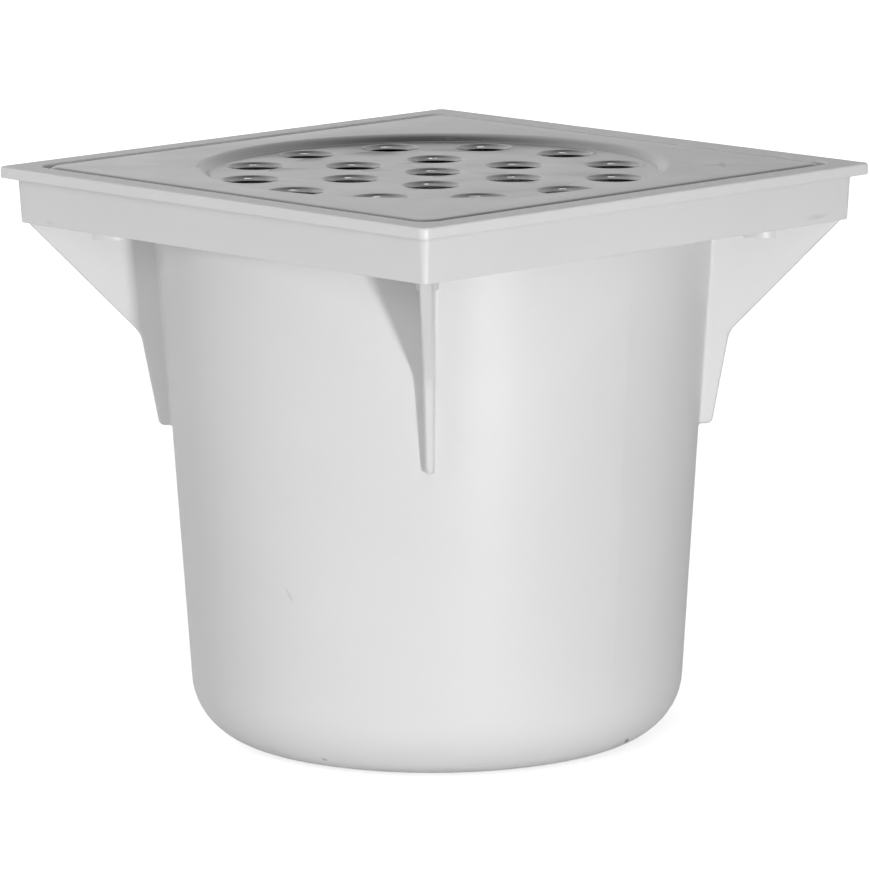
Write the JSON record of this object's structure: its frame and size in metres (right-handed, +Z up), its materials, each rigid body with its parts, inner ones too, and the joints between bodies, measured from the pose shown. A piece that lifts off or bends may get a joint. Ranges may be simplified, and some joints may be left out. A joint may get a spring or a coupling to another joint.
{
  "type": "floor gully trap",
  "caption": "Square-framed floor drain trap with a tapered round bucket, a lift-out bell over a bottom outlet and a pressed steel grate.",
  "frame": {"origin": "centre of the flat base of the bucket", "axes": "X and Y along the sides of the square frame, +Z up towards the grate"},
  "size_m": [0.15, 0.15, 0.1405],
  "materials": {
    "body_plastic": "satin moulded",
    "bell_plastic": "satin moulded",
    "grate_steel": "mill finish, pressed"
  },
  "bodies": {
    "root": {"gully_body": "body_plastic", "trap_bell": "bell_plastic", "grate": "grate_steel"}
  },
  "joints": []
}
